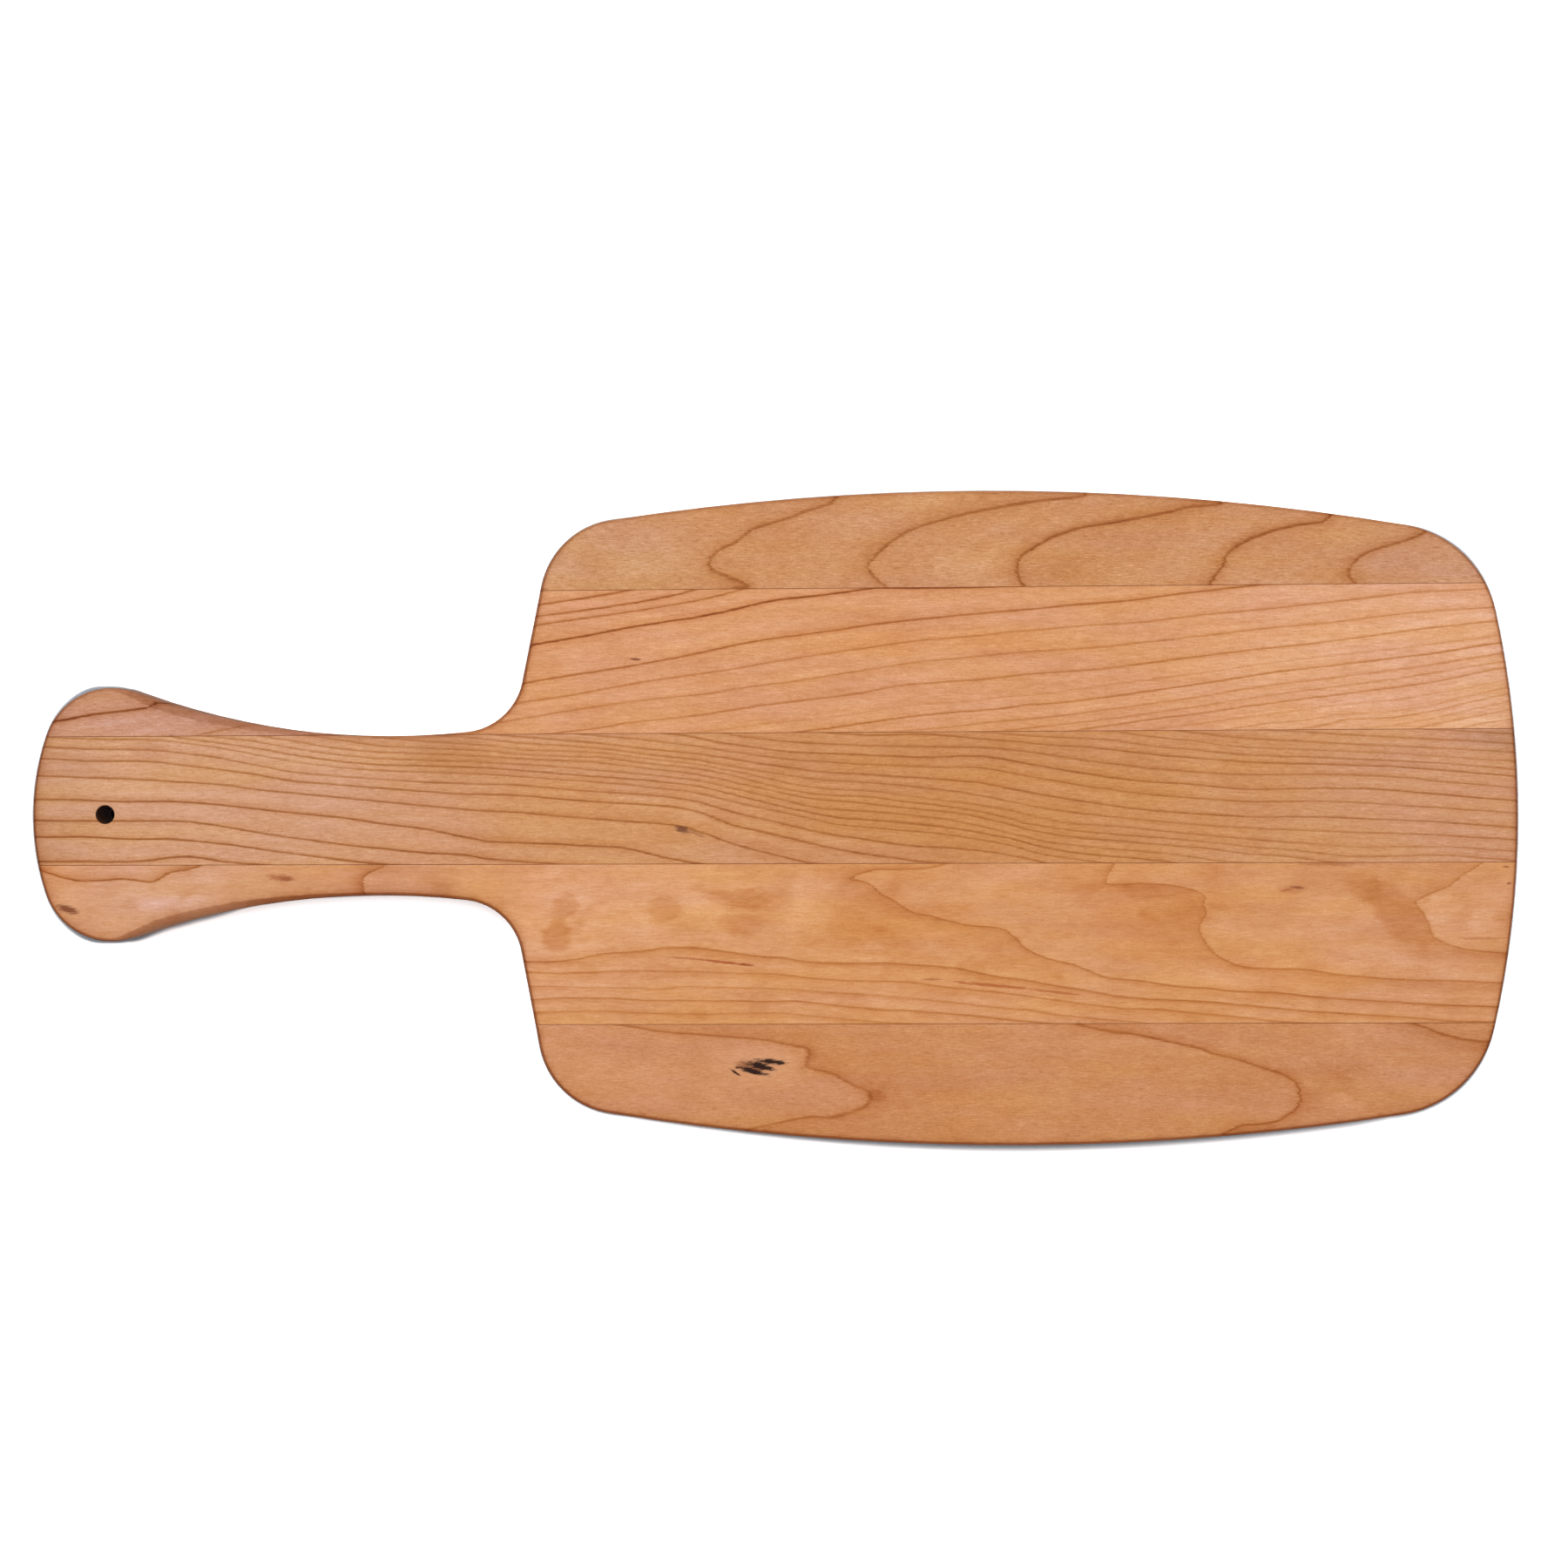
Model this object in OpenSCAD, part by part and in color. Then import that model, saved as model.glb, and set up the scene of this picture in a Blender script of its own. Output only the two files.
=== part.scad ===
// Paddle board for bread, cheese and cold meats, glued up from five cherry staves.
// The handle points to -X, the broad blade to +X, and the board lies flat on z = 0.
// One outline of tangent arcs is swept with a rounded edge, and the glue joints cut it into staves.

/* [Board] */
// Length from the tip of the handle to the far end of the blade
board_length = 508; // [430:1:600]
// Thickness of the board
board_thickness = 19; // [14:0.5:28]
// Greatest width of the blade
blade_width = 224; // [190:1:260]

/* [Blade outline] */
// Distance from the tip of the handle to the shoulder line, measured on the centre line
shoulder_reach = 158.2; // [145:0.5:170]
// Lean of the shoulder line away from square, in degrees
shoulder_lean = 11; // [4:0.5:20]
// Radius of the blade's front corners
front_corner_radius = 28.5; // [18:0.5:32]
// Radius of the blade's long sides
side_radius = 864; // [700:1:1300]
// Distance from the tip of the handle to the blade's widest place
widest_reach = 331.5; // [315:0.5:350]
// Radius of the blade's end corners
end_corner_radius = 38; // [25:0.5:45]
// Radius of the blade's curved end
end_radius = 332; // [250:1:450]

/* [Handle outline] */
// Width of the rounded lobe at the end of the handle
lobe_width = 86.8; // [75:0.2:95]
// Radius of the curved end of the lobe
lobe_end_radius = 86; // [60:0.5:105]
// Radius of the lobe's corners
lobe_corner_radius = 23.5; // [18:0.1:28]
// Width of the neck at its narrowest place
neck_width = 54.6; // [45:0.2:60]
// Distance from the tip of the handle to the narrowest place of the neck
neck_reach = 120.5; // [105:0.5:130]
// Radius of the hollow where the neck meets the shoulder
shoulder_fillet_radius = 21.5; // [15:0.5:26]

/* [Edges] */
// Radius of the rounded edge all round both faces
edge_radius = 1.4; // [0.8:0.1:2]
// Radius that the edge grows to at the flare of the handle, where the fingers close round it
flare_edge_radius = 3.6; // [2:0.1:5]
// Distance past the lobe's widest place at which that edge is largest
flare_peak_run = 15; // [8:1:20]
// Distance past the lobe's widest place at which it has died away
flare_fade_run = 90; // [40:1:95]

/* [Hanging hole] */
// Diameter of the hole through the handle
hole_diameter = 6.35; // [5:0.05:10]
// Distance from the tip of the handle to the hole's centre
hole_reach = 24.9; // [18:0.1:32]
// Depth of the small bevel round each mouth of the hole
hole_bevel = 0.15; // [0.1:0.05:0.8]

/* [Staves] */
// Distance of the top joint from the centre line, halfway along the board
top_joint_offset = 78.1; // [72:0.1:90]
// Distance by which the upper joint clears the neck, which it passes at its narrowest
upper_joint_margin = 0.3; // [0.2:0.05:2]
// Distance of the lower joint from the centre line, halfway along the board
lower_joint_offset = 15.9; // [10:0.1:20]
// Distance of the bottom joint from the centre line, halfway along the board
bottom_joint_offset = 70.7; // [60:0.1:85]
// Turn of the top joint away from the centre line, in degrees
top_joint_turn = 0.7; // [0:0.01:1]
// Turn of the upper joint, in degrees
upper_joint_turn = 0.55; // [0:0.01:1]
// Turn of the lower joint, in degrees
lower_joint_turn = 0.35; // [0:0.01:1]
// Turn of the bottom joint, in degrees
bottom_joint_turn = 0.33; // [0:0.01:1]
// Thickness of the glue in each joint
glue_thickness = 0.2; // [0.1:0.01:0.3]

/* [Hidden] */
// Most that a facet may cut inside its true arc
facet_sag = 0.04;
// Facets across the rounded edge
edge_steps = 4;
// Length by which each cut runs past what it cuts
overrun = 3;
// Roundness of the drilled hole
hole_facets = 48;

half_blade = blade_width / 2;
half_lobe = lobe_width / 2;
half_neck = neck_width / 2;
tip_x = -board_length / 2;

// Helpers for arcs that run into each other without a corner
function square(v) = v * v;
function unit_at(angle) = [cos(angle), sin(angle)];
function angle_of(v) = atan2(v.y, v.x);
function steps_on(radius, sweep) = ceil(abs(sweep) / (2 * acos(1 - facet_sag / radius)));
// Where circles about a and b cross, on the side that lies to the left going from a to b
function crossing(a, radius_a, b, radius_b) =
    let (gap = norm(b - a),
         along = (square(gap) + square(radius_a) - square(radius_b)) / (2 * gap),
         aside = sqrt(square(radius_a) - square(along)),
         way = (b - a) / gap)
    a + along * way + aside * [-way.y, way.x];
// Where the circle about c meets the line through p along way, at its far crossing
function line_crossing(p, way, c, radius) =
    let (run = (c - p) * way, off = norm(c - p - run * way))
    p + (run + sqrt(square(radius) - square(off))) * way;
// The same for the near crossing
function near_line_crossing(p, way, c, radius) =
    let (run = (c - p) * way, off = norm(c - p - run * way))
    p + (run - sqrt(square(radius) - square(off))) * way;

// Centres of the arcs of the upper half outline, from the tip of the handle to the blade's end
lobe_end_centre = [tip_x + lobe_end_radius, 0];
lobe_corner_centre = [lobe_end_centre.x - sqrt(square(lobe_end_radius - lobe_corner_radius)
                      - square(half_lobe - lobe_corner_radius)), half_lobe - lobe_corner_radius];
neck_run = tip_x + neck_reach - lobe_corner_centre.x;
neck_drop = half_neck - lobe_corner_centre.y;
neck_radius = (square(neck_run) + square(neck_drop) - square(lobe_corner_radius))
              / (2 * (lobe_corner_radius - neck_drop));
neck_centre = [tip_x + neck_reach, half_neck + neck_radius];
shoulder_foot = [tip_x + shoulder_reach, 0];
shoulder_way = [sin(shoulder_lean), cos(shoulder_lean)];
shoulder_outward = [-cos(shoulder_lean), sin(shoulder_lean)];
fillet_centre = near_line_crossing(shoulder_foot + shoulder_fillet_radius * shoulder_outward,
                                   shoulder_way, neck_centre, neck_radius - shoulder_fillet_radius);
side_centre = [tip_x + widest_reach, half_blade - side_radius];
front_corner_centre = line_crossing(shoulder_foot - front_corner_radius * shoulder_outward,
                                    shoulder_way, side_centre, side_radius - front_corner_radius);
end_centre = [-tip_x - end_radius, 0];
end_corner_centre = crossing(end_centre, end_radius - end_corner_radius,
                             side_centre, side_radius - end_corner_radius);

// Each arc: centre, radius, first angle, last angle, and 1 where the wood is inside it or -1
ARCS = [
    [lobe_end_centre, lobe_end_radius, 180, angle_of(lobe_corner_centre - lobe_end_centre), 1],
    [lobe_corner_centre, lobe_corner_radius, angle_of(lobe_corner_centre - lobe_end_centre),
     angle_of(neck_centre - lobe_corner_centre), 1],
    [neck_centre, neck_radius, angle_of(lobe_corner_centre - neck_centre),
     angle_of(fillet_centre - neck_centre), -1],
    [fillet_centre, shoulder_fillet_radius, angle_of(fillet_centre - neck_centre),
     -shoulder_lean, -1],
    [front_corner_centre, front_corner_radius, 180 - shoulder_lean,
     angle_of(front_corner_centre - side_centre), 1],
    [side_centre, side_radius, angle_of(front_corner_centre - side_centre),
     angle_of(end_corner_centre - side_centre), 1],
    [end_corner_centre, end_corner_radius, angle_of(end_corner_centre - side_centre),
     angle_of(end_corner_centre - end_centre), 1],
    [end_centre, end_radius, angle_of(end_corner_centre - end_centre), 0, 1]
];

// Radius of the rounded edge at a distance x along the board, larger at the flare of the handle
function flare_share(run) =
    run <= 0 || run >= flare_fade_run ? 0 :
    run < flare_peak_run ? (1 - cos(180 * run / flare_peak_run)) / 2 :
    (1 + cos(180 * (run - flare_peak_run) / (flare_fade_run - flare_peak_run))) / 2;
function edge_radius_at(x) =
    edge_radius + (flare_edge_radius - edge_radius) * flare_share(x - lobe_corner_centre.x);

// Stations of the upper half outline: place, outward direction and edge radius
function arc_stations(arc, first) =
    let (n = steps_on(arc[1], arc[3] - arc[2]))
    [for (i = [first:n])
        let (way = unit_at(arc[2] + (arc[3] - arc[2]) * i / n), place = arc[0] + arc[1] * way)
        [place, arc[4] * way, edge_radius_at(place.x)]];
// An arc that starts where the one before it ends leaves out its first station
function arc_place(arc, which) = arc[0] + arc[1] * unit_at(arc[which]);
function follows_on(a) = a > 0 && norm(arc_place(ARCS[a], 2) - arc_place(ARCS[a - 1], 3)) < facet_sag;
STATIONS = [for (a = [0:len(ARCS) - 1]) each arc_stations(ARCS[a], follows_on(a) ? 1 : 0)];

// Points across the rounded edges of one station, from the top face down to the bottom face
function edge_profile(station, side) =
    let (r = station[2],
         rounds = [for (k = [0:edge_steps]) 90 * k / edge_steps],
         top = [for (a = rounds) [r * (1 - sin(a)), board_thickness - r * (1 - cos(a))]],
         bottom = [for (a = rounds) [r * (1 - cos(a)), r * (1 - sin(a))]])
    [for (p = concat(top, bottom))
        let (place = station[0] - p[0] * station[1]) [place.x, side * place.y, p[1]]];

// The blank: the whole outline swept with its rounded edge, through the chosen stations only
module blank(stations) {
    n = len(stations);
    ends_on_line = [for (s = [stations[0], stations[n - 1]]) abs(s[0].y) < facet_sag ? 1 : 0];
    lower = [for (i = [n - 1 - ends_on_line[1]:-1:ends_on_line[0]]) stations[i]];
    loop_length = n + len(lower);
    rows = 2 * (edge_steps + 1);
    upper_at = function (i, k) i * rows + k;
    lower_at = function (i, k)
        let (j = 2 * n - 1 - ends_on_line[1] - i)
        (i == n - 1 && ends_on_line[1] == 1 ? i : i == 0 && ends_on_line[0] == 1 ? 0 : j) * rows + k;
    points = concat([for (s = stations) each edge_profile(s, 1)],
                    [for (s = lower) each edge_profile(s, -1)]);
    walls = [for (j = [0:loop_length - 1], k = [0:rows - 2])
        let (a = j * rows + k, b = ((j + 1) % loop_length) * rows + k)
        each [[a, b + 1, b], [a, a + 1, b + 1]]];
    faces = [for (i = [0:n - 2], k = [0, rows - 1])
        let (a = upper_at(i, k), b = upper_at(i + 1, k),
             c = lower_at(i + 1, k), d = lower_at(i, k),
             both = [if (b != c) [a, b, c], if (a != d) [a, c, d]])
        each k == 0 ? both : [for (f = both) [f[0], f[2], f[1]]]];
    polyhedron(points, concat(walls, faces));
}

// A joint: its distance from the centre line halfway along the board, and its turn
TOP_JOINT = [top_joint_offset, top_joint_turn];
UPPER_JOINT = [half_neck + upper_joint_margin - (tip_x + neck_reach) * tan(upper_joint_turn),
               upper_joint_turn];
LOWER_JOINT = [-lower_joint_offset, lower_joint_turn];
BOTTOM_JOINT = [-bottom_joint_offset, bottom_joint_turn];
// The blank's own sides, past which nothing is left
ABOVE = [half_blade + overrun, 0];
BELOW = [-half_blade - overrun, 0];
function joint_y(joint, x) = joint[0] + x * tan(joint[1]);

// The stretch between two joints, drawn in from each by its share of the glue
module between(low, high, low_shift, high_shift) {
    reach = board_length / 2 + overrun;
    translate([0, 0, -overrun])
        linear_extrude(board_thickness + 2 * overrun)
            polygon([[-reach, joint_y(low, -reach) + low_shift],
                     [reach, joint_y(low, reach) + low_shift],
                     [reach, joint_y(high, reach) + high_shift],
                     [-reach, joint_y(high, -reach) + high_shift]]);
}

// Stations at the ends of each step of the outline that passes near the stretch between two joints
function near_stretch(s, t, low, high) =
    let (a = joint_y(low, s[0].x), b = joint_y(high, s[0].x),
         inner = a * b < 0 ? 0 : min(abs(a), abs(b)), outer = max(abs(a), abs(b)))
    max(s[0].y, t[0].y) >= inner - overrun && min(s[0].y - s[2], t[0].y - t[2]) <= outer + overrun;
function stations_near(low, high, from_x, to_x) =
    let (n = len(STATIONS),
         steps = [for (i = [0:n - 2])
             let (s = STATIONS[i], t = STATIONS[i + 1])
             t[0].x > from_x && s[0].x < to_x && near_stretch(s, t, low, high)])
    [for (i = [0:n - 1]) if (steps[max(i - 1, 0)] || steps[min(i, n - 2)]) STATIONS[i]];

// A stave or a glue line: the part of the blank between two joints
module slice(low, high, low_shift, high_shift, from_x = -board_length, to_x = board_length) {
    intersection() {
        blank(stations_near(low, high, from_x, to_x));
        between(low, high, low_shift, high_shift);
    }
}
module stave(low, high, from_x = -board_length, to_x = board_length) {
    slice(low, high, glue_thickness / 2, -glue_thickness / 2, from_x, to_x);
}
module glue_line(joint, from_x = -board_length, to_x = board_length) {
    slice(joint, joint, -glue_thickness / 2, glue_thickness / 2, from_x, to_x);
}

// The drilled hole with its bevelled mouths
module hanging_hole() {
    hole_radius = hole_diameter / 2;
    translate([tip_x + hole_reach, 0, 0]) {
        translate([0, 0, -overrun])
            cylinder(h = board_thickness + 2 * overrun, r = hole_radius, $fn = hole_facets);
        translate([0, 0, board_thickness - hole_bevel])
            cylinder(h = hole_bevel + overrun, r1 = hole_radius,
                     r2 = hole_radius + hole_bevel + overrun, $fn = hole_facets);
        translate([0, 0, -overrun])
            cylinder(h = hole_bevel + overrun, r1 = hole_radius + hole_bevel + overrun,
                     r2 = hole_radius, $fn = hole_facets);
    }
}

// The narrowest place of the neck parts the upper stave's blade piece from its lobe piece
NECK_X = tip_x + neck_reach;

// Flat-sawn stave along the top edge of the blade
module top_edge_stave() {
    color([0.80, 0.60, 0.42]) stave(TOP_JOINT, ABOVE);
}

// Blade piece of the upper stave, which the neck cut in two
module upper_blade_stave() {
    color([0.84, 0.62, 0.45]) stave(UPPER_JOINT, TOP_JOINT, from_x = NECK_X);
}

// Lobe piece of the same stave, on the upper side of the handle's end
module upper_lobe_wing() {
    color([0.78, 0.55, 0.40]) stave(UPPER_JOINT, TOP_JOINT, to_x = NECK_X);
}

// Centre stave, from the handle's tip through the neck to the blade's end, with the hanging hole
module centre_stave() {
    color([0.76, 0.55, 0.37])
        difference() {
            stave(LOWER_JOINT, UPPER_JOINT);
            hanging_hole();
        }
}

// Lower stave, which carries the lower side of the handle
module lower_stave() {
    color([0.82, 0.60, 0.41]) stave(BOTTOM_JOINT, LOWER_JOINT);
}

// Stave along the bottom edge of the blade
module bottom_edge_stave() {
    color([0.80, 0.56, 0.41]) stave(BELOW, BOTTOM_JOINT);
}

// Glue lines, one in each joint, and two where the neck cuts the upper joint
module top_glue_line() {
    color([0.50, 0.30, 0.18]) glue_line(TOP_JOINT);
}
module upper_glue_line() {
    color([0.50, 0.30, 0.18]) glue_line(UPPER_JOINT, from_x = NECK_X);
}
module lobe_glue_line() {
    color([0.50, 0.30, 0.18]) glue_line(UPPER_JOINT, to_x = NECK_X);
}
module lower_glue_line() {
    color([0.50, 0.30, 0.18]) glue_line(LOWER_JOINT);
}
module bottom_glue_line() {
    color([0.50, 0.30, 0.18]) glue_line(BOTTOM_JOINT);
}

top_edge_stave();
upper_blade_stave();
upper_lobe_wing();
centre_stave();
lower_stave();
bottom_edge_stave();
top_glue_line();
upper_glue_line();
lobe_glue_line();
lower_glue_line();
bottom_glue_line();
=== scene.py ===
import math
import bmesh
import bpy
import numpy as np
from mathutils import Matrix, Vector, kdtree


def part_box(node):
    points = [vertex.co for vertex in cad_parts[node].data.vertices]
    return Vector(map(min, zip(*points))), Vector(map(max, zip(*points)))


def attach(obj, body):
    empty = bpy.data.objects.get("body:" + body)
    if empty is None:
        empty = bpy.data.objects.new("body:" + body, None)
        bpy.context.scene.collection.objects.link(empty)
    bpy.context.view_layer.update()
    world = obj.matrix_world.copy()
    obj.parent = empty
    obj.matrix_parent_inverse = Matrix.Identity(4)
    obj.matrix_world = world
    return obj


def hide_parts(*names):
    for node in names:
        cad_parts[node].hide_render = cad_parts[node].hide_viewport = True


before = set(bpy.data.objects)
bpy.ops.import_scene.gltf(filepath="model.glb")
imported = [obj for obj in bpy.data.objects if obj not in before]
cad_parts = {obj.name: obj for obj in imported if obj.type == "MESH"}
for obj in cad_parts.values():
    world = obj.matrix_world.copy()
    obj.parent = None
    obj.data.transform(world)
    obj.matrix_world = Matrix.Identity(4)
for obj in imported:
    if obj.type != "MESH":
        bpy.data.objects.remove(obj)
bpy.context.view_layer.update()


# The top edge stave: flat-sawn cherry, planed, sanded and oiled, seen as a row of pointed arches.
# Its CAD solid is copied, cut by a fine grid and given a growth ring number at each point, worked out
# from rings that were traced on enlarged parts of the photo; a shader draws them.

# lengths are in metres, or in mm where the name says so; a tone multiplies the wood's own colour
PHOTO_SIZE = 1800
PHOTO_STEP = 0.000298
PHOTO_BOARD_X, PHOTO_BOARD_Y = 890.3, 938.1
BOARD_TURN = math.radians(0.2194)
BOARD_THICK = 0.019
CELL_ALONG, CELL_ACROSS, CELL_DEPTH = 0.0016, 0.0010, 0.0035
MERGE_GAP = 1e-6
FLAT_ANGLE, SHARP_ANGLE = math.radians(0.05), math.radians(40)
TRACE_STEP_MM, TRACE_SLACK, CHUNK = 1.5, 0.15, 4000
SLOPE_X_MM, SLOPE_Y_MM = 1.0, 0.6
RING_WIDTH_MM = 0.8, 90
INK_BEFORE, INK_AFTER = 0.55, 0.12
HOLE_X = -0.2291
HOLE_ZONE_MM = 6
ROUND_MM = 0.02, 1.2
SIDE_GAP_MM, SIDE_TILT = 0.3, 0.5
HANDLE_END_MM = -85
RELIEF_X_MM, RELIEF_Y_MM = (-240, -228, -188, -172), -25
RIM_REACH_HANDLE_MM, RIM_REACH_BLADE_MM = 1.5, 0.8
HANDLE_FADE = -0.17, -0.12
BORE_RIM = 0.0031, 0.0033
EDGE_FADE = 0.00001, 0.00010
MARK_DEPTH = 0.008
OIL_IOR = 1.46
BUMP_STRENGTH, BUMP_HEIGHT = 0.25, 0.00012
# painted shade: tones for the rim, the rounded edges and the walls; the end-grain one is also the
# darker colour of oiled end grain
RIM_SHADE_TONE = (0.70, 0.55, 0.43, 1)
LONG_EDGE_SHADE_TONE, END_GRAIN_AND_SHADE_TONE = (0.64, 0.50, 0.41, 1), (0.56, 0.52, 0.55, 1)
WALL_SHADE_TONE = (0.72, 0.68, 0.66, 1)
# painted shade inside the bored hole
BORE_SHADE_TONE = (0.12, 0.08, 0.06, 1)


def on_board(px, py):
    """A point of the 1800 x 1800 photo as x and y on the board's upper face, in metres."""
    across, up = (px - PHOTO_BOARD_X) * PHOTO_STEP, (PHOTO_BOARD_Y - py) * PHOTO_STEP
    return (across * math.cos(BOARD_TURN) - up * math.sin(BOARD_TURN),
            across * math.sin(BOARD_TURN) + up * math.cos(BOARD_TURN))


def fine_copy(node):
    """The CAD solid of a node as a new object, merged and cut into cells that can carry grain."""
    mesh = bmesh.new()
    mesh.from_mesh(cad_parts[node].data)
    bmesh.ops.remove_doubles(mesh, verts=mesh.verts, dist=MERGE_GAP)
    bmesh.ops.dissolve_limit(mesh, angle_limit=FLAT_ANGLE, verts=mesh.verts, edges=mesh.edges)
    low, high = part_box(node)
    for axis, step in enumerate((CELL_ALONG, CELL_ACROSS, CELL_DEPTH)):
        normal = [0, 0, 0]
        normal[axis] = 1
        for place in np.arange(math.ceil(low[axis] / step) * step, high[axis], step):
            point = [0, 0, 0]
            point[axis] = place
            bmesh.ops.bisect_plane(mesh, geom=mesh.verts[:] + mesh.edges[:] + mesh.faces[:],
                                   dist=MERGE_GAP, plane_co=point, plane_no=normal)
    data = bpy.data.meshes.new(node + "_wood")
    mesh.to_mesh(data)
    mesh.free()
    data.shade_smooth()
    data.set_sharp_from_angle(angle=SHARP_ANGLE)
    piece = bpy.data.objects.new(node + "_wood", data)
    bpy.context.scene.collection.objects.link(piece)
    return piece


def ring_field(rings, stretch):
    """A smooth function of x and y in mm that is n all along the trace of ring n.

    A ring is its number, the strength of its ink, which is None for a trace that only guides the
    numbers, and the points of its trace in photo pixels.
    """
    places, numbers = [], []
    for number, _, trace in rings:
        path = np.array([on_board(*p) for p in trace]) * 1000 / (stretch, 1)
        run = np.concatenate(([0], np.hypot(*np.diff(path, axis=0).T).cumsum()))
        stops = np.linspace(0, run[-1], max(2, int(run[-1] / TRACE_STEP_MM) + 1))
        places.append(np.stack([np.interp(stops, run, path[:, i]) for i in (0, 1)], 1))
        numbers.append(np.full(len(stops), float(number)))
    places, numbers = np.concatenate(places), np.concatenate(numbers)
    count = len(places)
    table = np.zeros((count + 3, count + 3))
    gaps = places[:, None] - places[None]
    table[:count, :count] = TRACE_SLACK * np.eye(count) - np.hypot(gaps[..., 0], gaps[..., 1])
    table[:count, count:] = table[count:, :count].T
    table[:count, count:] = np.column_stack((np.ones(count), places / 100))
    table[count:, :count] = table[:count, count:].T
    weights = np.linalg.solve(table, np.concatenate((numbers, np.zeros(3))))

    def value(x, y):
        here = np.column_stack((x / stretch, y))
        out = weights[count] + here / 100 @ weights[count + 1:]
        for start in range(0, len(here), CHUNK):
            part = here[start:start + CHUNK]
            far = np.hypot(part[:, None, 0] - places[:, 0], part[:, None, 1] - places[:, 1])
            out[start:start + CHUNK] -= far @ weights[:count]
        return out
    return value


def write_grain(piece, rings, stretch, lean):
    """Stores the rings at each point, and a painted shade that grows with how near it is to the board's
    rim.
    """
    spots = np.empty(len(piece.data.vertices) * 3)
    piece.data.vertices.foreach_get("co", spots)
    spots = spots.reshape(-1, 3) * 1000
    depth = BOARD_THICK * 1000 - spots[:, 2]
    x, y = spots[:, 0] + lean[0] * depth, spots[:, 1] + lean[1] * depth
    value = ring_field(rings, stretch)
    number = value(x, y)
    slope_x = (value(x + SLOPE_X_MM, y) - value(x - SLOPE_X_MM, y)) / (2 * SLOPE_X_MM)
    slope_y = (value(x, y + SLOPE_Y_MM) - value(x, y - SLOPE_Y_MM)) / (2 * SLOPE_Y_MM)
    width = np.clip(1 / np.maximum(np.hypot(slope_x, slope_y), 1e-4), *RING_WIDTH_MM)
    strengths = {ring: level for ring, level, _ in rings if level is not None}
    knots, levels = [], []
    for ring in sorted(strengths):
        knots += [ring - INK_BEFORE, ring + INK_AFTER]
        levels += [strengths[ring]] * 2
    strength = np.interp(number, knots, levels)
    below = np.minimum(depth, BOARD_THICK * 1000 - depth)
    from_hole = np.hypot(spots[:, 0] - HOLE_X * 1000, spots[:, 1])
    round_edge = (below > ROUND_MM[0]) & (below < ROUND_MM[1]) & (from_hole > HOLE_ZONE_MM)
    rim = kdtree.KDTree(int(round_edge.sum()))
    for i, spot in enumerate(spots[round_edge]):
        rim.insert((spot[0], spot[1], 0), i)
    rim.balance()
    nearest = [rim.find((spot[0], spot[1], 0)) for spot in spots]
    gap = np.array([found[2] for found in nearest])
    outward = np.array([found[0] for found in nearest])[:, :2] - spots[:, :2]
    normals = np.array([v.normal for v in piece.data.vertices])[:, :2]
    on_side = (gap < SIDE_GAP_MM) | (np.hypot(*normals.T) > SIDE_TILT)
    outward = np.where(on_side[:, None], normals, outward)
    outward /= np.maximum(np.hypot(*outward.T), 1e-6)[:, None]
    handle = spots[:, 0] < HANDLE_END_MM
    rim_reach = np.where(handle, RIM_REACH_HANDLE_MM, RIM_REACH_BLADE_MM)
    relief = np.interp(spots[:, 0], RELIEF_X_MM, (0, 1, 1, 0)) * (spots[:, 1] < RELIEF_Y_MM)
    # painted shade: the rim is darker on the lower, left and right sides and on the handle, and lighter
    # on the upper side and on the flare's relief, as the lamp beyond the top edge would shade it
    side_shade = 0.55 - 0.25 * outward[:, 1] + 0.3 * np.abs(outward[:, 0]) + 0.12 * handle - 0.35 * relief
    side_shade = np.clip(side_shade, 0.3, 1.0)
    # the rim layer is this painted shade, fading inwards from the rounded edge; the side layer is its
    # strength
    for label, values in (("ring", number), ("ring_width", width), ("ring_strength", strength),
                          ("ring_along", np.clip(np.abs(slope_x), 0, 0.6)),
                          ("rim", side_shade * np.exp(-gap / rim_reach)), ("rim_side_shade", side_shade)):
        layer = piece.data.attributes.new(label, "FLOAT", "POINT")
        layer.data.foreach_set("value", values.astype(np.float32))


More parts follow.
